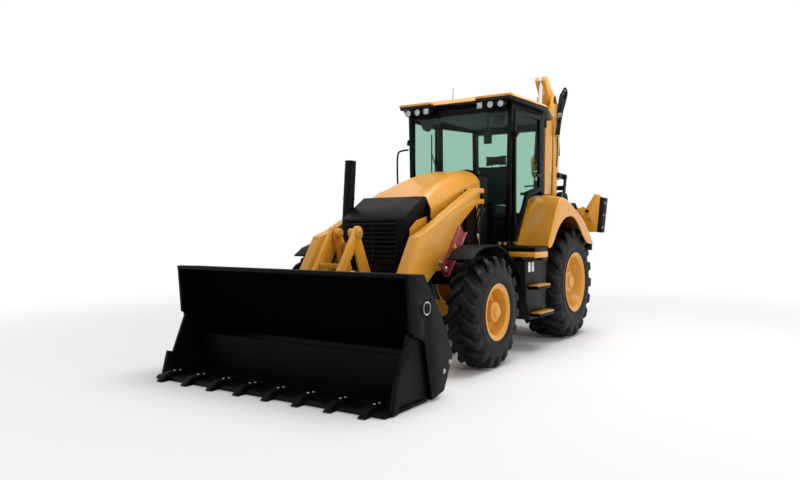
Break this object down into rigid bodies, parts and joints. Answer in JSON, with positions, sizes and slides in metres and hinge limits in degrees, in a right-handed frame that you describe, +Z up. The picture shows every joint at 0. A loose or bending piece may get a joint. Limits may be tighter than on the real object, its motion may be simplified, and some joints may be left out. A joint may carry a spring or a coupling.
{
  "type": "backhoe loader",
  "caption": "Wheeled backhoe loader: enclosed cab, clam loader bucket on curved arms in front, swinging boom, stick and bucket with folding stabiliser legs at the rear.",
  "frame": {"origin": "on the ground at the middle of the overall length and width", "axes": "+X points forward, +Y to the machine's left, +Z up"},
  "size_m": [7.068, 2.446, 3.5495],
  "materials": {
    "black_paint": "satin black paint",
    "black_plastic": "grained black plastic",
    "cab_glass": "clear, slightly green",
    "cast_iron": "dark cast block",
    "lamp": "dark lamp housings",
    "rod_chrome": "polished chrome",
    "rubber": "matt rubber",
    "seat_fabric": "black woven fabric",
    "tyre": "matt rubber",
    "yellow_paint": "satin yellow paint"
  },
  "bodies": {
    "chassis": {"main_frame": "black_paint", "engine": "cast_iron", "axles": "yellow_paint", "side_panels": "yellow_paint", "nose_cover": "black_plastic", "exhaust_stack": "black_paint", "platform": "yellow_paint", "tanks": "black_plastic", "rear_fenders": "yellow_paint", "front_fenders": "black_plastic", "cab_frame": "black_paint", "cab_roof": "yellow_paint", "work_lamps": "lamp", "cab_glass": "cab_glass", "seat": "seat_fabric", "controls": "black_plastic"},
    "knuckle_left": {"knuckle_left": "yellow_paint"},
    "knuckle_right": {"knuckle_right": "yellow_paint"},
    "front_wheel_left": {"front_tyre_left": "tyre", "front_rim_left": "yellow_paint"},
    "front_wheel_right": {"front_tyre_right": "tyre", "front_rim_right": "yellow_paint"},
    "rear_wheel_left": {"rear_tyre_left": "tyre", "rear_rim_left": "yellow_paint"},
    "rear_wheel_right": {"rear_tyre_right": "tyre", "rear_rim_right": "yellow_paint"},
    "hood": {"hood": "yellow_paint"},
    "door_left": {"door_left": "black_paint", "door_glass_left": "cab_glass"},
    "door_right": {"door_right": "black_paint", "door_glass_right": "cab_glass"},
    "loader_arms": {"loader_arms": "yellow_paint"},
    "lift_barrels": {"lift_barrel": "black_paint"},
    "lift_rods": {"lift_rod": "rod_chrome"},
    "tilt_lever": {"tilt_lever": "yellow_paint"},
    "tilt_link": {"tilt_link": "yellow_paint"},
    "tilt_barrel": {"tilt_barrel": "black_paint"},
    "tilt_rod": {"tilt_rod": "rod_chrome"},
    "loader_bucket": {"loader_bucket": "black_paint"},
    "bucket_jaw": {"bucket_jaw": "black_paint"},
    "swing_post": {"swing_post": "yellow_paint"},
    "boom": {"boom": "yellow_paint"},
    "stick": {"stick": "yellow_paint"},
    "hoe_bucket": {"hoe_bucket": "black_paint"},
    "bucket_lever": {"bucket_lever": "black_paint"},
    "bucket_link": {"bucket_link": "black_paint"},
    "boom_cylinder_barrel": {"boom_cylinder_barrel": "black_paint"},
    "boom_cylinder_rod": {"boom_cylinder_rod": "rod_chrome"},
    "stick_cylinder_barrel": {"stick_cylinder_barrel": "black_paint"},
    "stick_cylinder_rod": {"stick_cylinder_rod": "rod_chrome"},
    "bucket_cylinder_barrel": {"bucket_cylinder_barrel": "black_paint"},
    "bucket_cylinder_rod": {"bucket_cylinder_rod": "rod_chrome"},
    "stabiliser_left": {"stabiliser_left": "yellow_paint", "stabiliser_pad_left": "rubber"},
    "stabiliser_right": {"stabiliser_right": "yellow_paint", "stabiliser_pad_right": "rubber"},
    "stabiliser_barrel_left": {"stabiliser_barrel_left": "black_paint"},
    "stabiliser_barrel_right": {"stabiliser_barrel_right": "black_paint"},
    "stabiliser_rod_left": {"stabiliser_rod_left": "rod_chrome"},
    "stabiliser_rod_right": {"stabiliser_rod_right": "rod_chrome"}
  },
  "joints": [
    {"name": "steer_left", "type": "hinge", "parent": "chassis", "child": "knuckle_left", "pos_m": [1.476, 0.8, 0.515], "axis": [0, 0, 1], "range_deg": [-30, 30]},
    {"name": "steer_right", "type": "hinge", "parent": "chassis", "child": "knuckle_right", "pos_m": [1.476, -0.8, 0.515], "axis": [0, 0, 1], "range_deg": [-30.2, 30.2]},
    {"name": "front_wheel_left_spin", "type": "hinge", "parent": "knuckle_left", "child": "front_wheel_left", "pos_m": [1.476, 0.9475, 0.515], "axis": [0, 1, 0], "continuous": true},
    {"name": "rear_wheel_left_spin", "type": "hinge", "parent": "chassis", "child": "rear_wheel_left", "pos_m": [-0.724, 0.857, 0.655], "axis": [0, 1, 0], "continuous": true},
    {"name": "front_wheel_right_spin", "type": "hinge", "parent": "knuckle_right", "child": "front_wheel_right", "pos_m": [1.476, -0.9475, 0.515], "axis": [0, 1, 0], "continuous": true},
    {"name": "rear_wheel_right_spin", "type": "hinge", "parent": "chassis", "child": "rear_wheel_right", "pos_m": [-0.724, -0.857, 0.655], "axis": [0, 1, 0], "continuous": true},
    {"name": "hood_hinge", "type": "hinge", "parent": "chassis", "child": "hood", "pos_m": [0.461, 0, 1.9], "axis": [0, -1, 0], "range_deg": [0, 45]},
    {"name": "door_left_hinge", "type": "hinge", "parent": "chassis", "child": "door_left", "pos_m": [0.148, 0.7, 1.3], "axis": [0, 0, -1], "range_deg": [0, 70]},
    {"name": "door_right_hinge", "type": "hinge", "parent": "chassis", "child": "door_right", "pos_m": [0.148, -0.7, 1.3], "axis": [0, 0, 1], "range_deg": [0, 70]},
    {"name": "arms_lift", "type": "hinge", "parent": "chassis", "child": "loader_arms", "pos_m": [0.816, 0, 1.62], "axis": [0, -1, 0], "range_deg": [0, 85]},
    {"name": "lift_barrel_pivot", "type": "hinge", "parent": "chassis", "child": "lift_barrels", "pos_m": [0.426, 0, 0.8], "axis": [0, -1, 0], "range_deg": [-0.2, 48.18]},
    {"name": "lift_rod_slide", "type": "slide", "parent": "lift_barrels", "child": "lift_rods", "axis": [0.9919, 0, 0.127], "range_m": [-0.001, 0.711]},
    {"name": "bucket_tilt", "type": "hinge", "parent": "loader_arms", "child": "loader_bucket", "pos_m": [2.476, 0, 0.33], "axis": [0, 1, 0], "range_deg": [-40, 115]},
    {"name": "lever_pivot", "type": "hinge", "parent": "loader_arms", "child": "tilt_lever", "pos_m": [2.116, 0, 0.81], "axis": [0, 1, 0], "range_deg": [-40.2, 115.2]},
    {"name": "link_pivot", "type": "hinge", "parent": "loader_bucket", "child": "tilt_link", "pos_m": [2.696, 0, 0.76], "axis": [0, 1, 0], "range_deg": [-115.2, 40.2]},
    {"name": "tilt_barrel_pivot", "type": "hinge", "parent": "loader_arms", "child": "tilt_barrel", "pos_m": [1.976, 0, 0.39], "axis": [0, -1, 0], "range_deg": [-1.05, 2.65]},
    {"name": "tilt_rod_slide", "type": "slide", "parent": "tilt_barrel", "child": "tilt_rod", "axis": [0.4441, 0, 0.896], "range_m": [-0.1576, 0.0555]},
    {"name": "jaw_pivot", "type": "hinge", "parent": "loader_bucket", "child": "bucket_jaw", "pos_m": [2.969, 0, 0.7], "axis": [0, -1, 0], "range_deg": [0, 60]},
    {"name": "swing", "type": "hinge", "parent": "chassis", "child": "swing_post", "pos_m": [-2.074, 0, 0.83], "axis": [0, 0, 1], "range_deg": [-70, 70]},
    {"name": "boom_pivot", "type": "hinge", "parent": "swing_post", "child": "boom", "pos_m": [-2.364, 0, 0.95], "axis": [0, -1, 0], "range_deg": [0, 60]},
    {"name": "boom_barrel_pivot", "type": "hinge", "parent": "swing_post", "child": "boom_cylinder_barrel", "pos_m": [-2.224, 0, 1.25], "axis": [0, -1, 0], "range_deg": [-0.2, 67.89]},
    {"name": "boom_rod_slide", "type": "slide", "parent": "boom_cylinder_barrel", "child": "boom_cylinder_rod", "axis": [-0.1142, 0, 0.9935], "range_m": [-0.001, 0.3027]},
    {"name": "stick_pivot", "type": "hinge", "parent": "boom", "child": "stick", "pos_m": [-2.684, 0, 3.23], "axis": [0, 1, 0], "range_deg": [0, 90]},
    {"name": "stick_barrel_pivot", "type": "hinge", "parent": "boom", "child": "stick_cylinder_barrel", "pos_m": [-2.304, 0, 2.29], "axis": [0, -1, 0], "range_deg": [-0.2, 2.53]},
    {"name": "stick_rod_slide", "type": "slide", "parent": "stick_cylinder_barrel", "child": "stick_cylinder_rod", "axis": [-0.1149, 0, 0.9934], "range_m": [-0.5105, 0.001]},
    {"name": "hoe_bucket_pivot", "type": "hinge", "parent": "stick", "child": "hoe_bucket", "pos_m": [-2.844, 0, 1.8], "axis": [0, 1, 0], "range_deg": [0, 55]},
    {"name": "hoe_lever_pivot", "type": "hinge", "parent": "stick", "child": "bucket_lever", "pos_m": [-2.934, 0, 2.12], "axis": [0, 1, 0], "range_deg": [-0.2, 55.2]},
    {"name": "hoe_link_pivot", "type": "hinge", "parent": "hoe_bucket", "child": "bucket_link", "pos_m": [-3.084, 0, 1.79], "axis": [0, 1, 0], "range_deg": [-55.2, 0.2]},
    {"name": "hoe_barrel_pivot", "type": "hinge", "parent": "stick", "child": "bucket_cylinder_barrel", "pos_m": [-3.069, 0, 3.08], "axis": [0, -1, 0], "range_deg": [-0.2, 5.57]},
    {"name": "hoe_rod_slide", "type": "slide", "parent": "bucket_cylinder_barrel", "child": "bucket_cylinder_rod", "axis": [-0.1076, 0, -0.9942], "range_m": [-0.2075, 0.001]},
    {"name": "stabiliser_left_pivot", "type": "hinge", "parent": "chassis", "child": "stabiliser_left", "pos_m": [-1.694, 0.43, 0.64], "axis": [1, 0, 0], "range_deg": [-75, 0]},
    {"name": "stabiliser_left_barrel_pivot", "type": "hinge", "parent": "chassis", "child": "stabiliser_barrel_left", "pos_m": [-1.621, 0.25, 1.04], "axis": [1, 0, 0], "range_deg": [-65.27, 0.2]},
    {"name": "stabiliser_left_rod_slide", "type": "slide", "parent": "stabiliser_barrel_left", "child": "stabiliser_rod_left", "axis": [0, 0.7719, 0.6357], "range_m": [-0.001, 0.5128]},
    {"name": "stabiliser_right_pivot", "type": "hinge", "parent": "chassis", "child": "stabiliser_right", "pos_m": [-1.694, -0.43, 0.64], "axis": [-1, 0, 0], "range_deg": [-75, 0]},
    {"name": "stabiliser_right_barrel_pivot", "type": "hinge", "parent": "chassis", "child": "stabiliser_barrel_right", "pos_m": [-1.621, -0.25, 1.04], "axis": [-1, 0, 0], "range_deg": [-65.27, 0.2]},
    {"name": "stabiliser_right_rod_slide", "type": "slide", "parent": "stabiliser_barrel_right", "child": "stabiliser_rod_right", "axis": [0, -0.7719, 0.6357], "range_m": [-0.001, 0.5128]}
  ],
  "couplings": [
    {"joint": "steer_right", "follows": "steer_left", "ratio": 1},
    {"joint": "lift_barrel_pivot", "follows": "arms_lift", "ratio": 0.56442},
    {"joint": "lift_rod_slide", "follows": "arms_lift", "m_per_rad": 0.47859},
    {"joint": "lever_pivot", "follows": "bucket_tilt", "ratio": 1},
    {"joint": "link_pivot", "follows": "bucket_tilt", "ratio": -1},
    {"joint": "tilt_barrel_pivot", "follows": "bucket_tilt", "ratio": 0.02131},
    {"joint": "tilt_rod_slide", "follows": "bucket_tilt", "m_per_rad": -0.078},
    {"joint": "boom_barrel_pivot", "follows": "boom_pivot", "ratio": 1.1282},
    {"joint": "boom_rod_slide", "follows": "boom_pivot", "m_per_rad": 0.28814},
    {"joint": "stick_barrel_pivot", "follows": "stick_pivot", "ratio": 0.0259},
    {"joint": "stick_rod_slide", "follows": "stick_pivot", "m_per_rad": -0.32435},
    {"joint": "hoe_lever_pivot", "follows": "hoe_bucket_pivot", "ratio": 1},
    {"joint": "hoe_link_pivot", "follows": "hoe_bucket_pivot", "ratio": -1},
    {"joint": "hoe_barrel_pivot", "follows": "hoe_bucket_pivot", "ratio": 0.09763},
    {"joint": "hoe_rod_slide", "follows": "hoe_bucket_pivot", "m_per_rad": -0.21507},
    {"joint": "stabiliser_left_barrel_pivot", "follows": "stabiliser_left_pivot", "ratio": 0.86756},
    {"joint": "stabiliser_left_rod_slide", "follows": "stabiliser_left_pivot", "m_per_rad": -0.39102},
    {"joint": "stabiliser_right_barrel_pivot", "follows": "stabiliser_right_pivot", "ratio": 0.86756},
    {"joint": "stabiliser_right_rod_slide", "follows": "stabiliser_right_pivot", "m_per_rad": -0.39102}
  ]
}
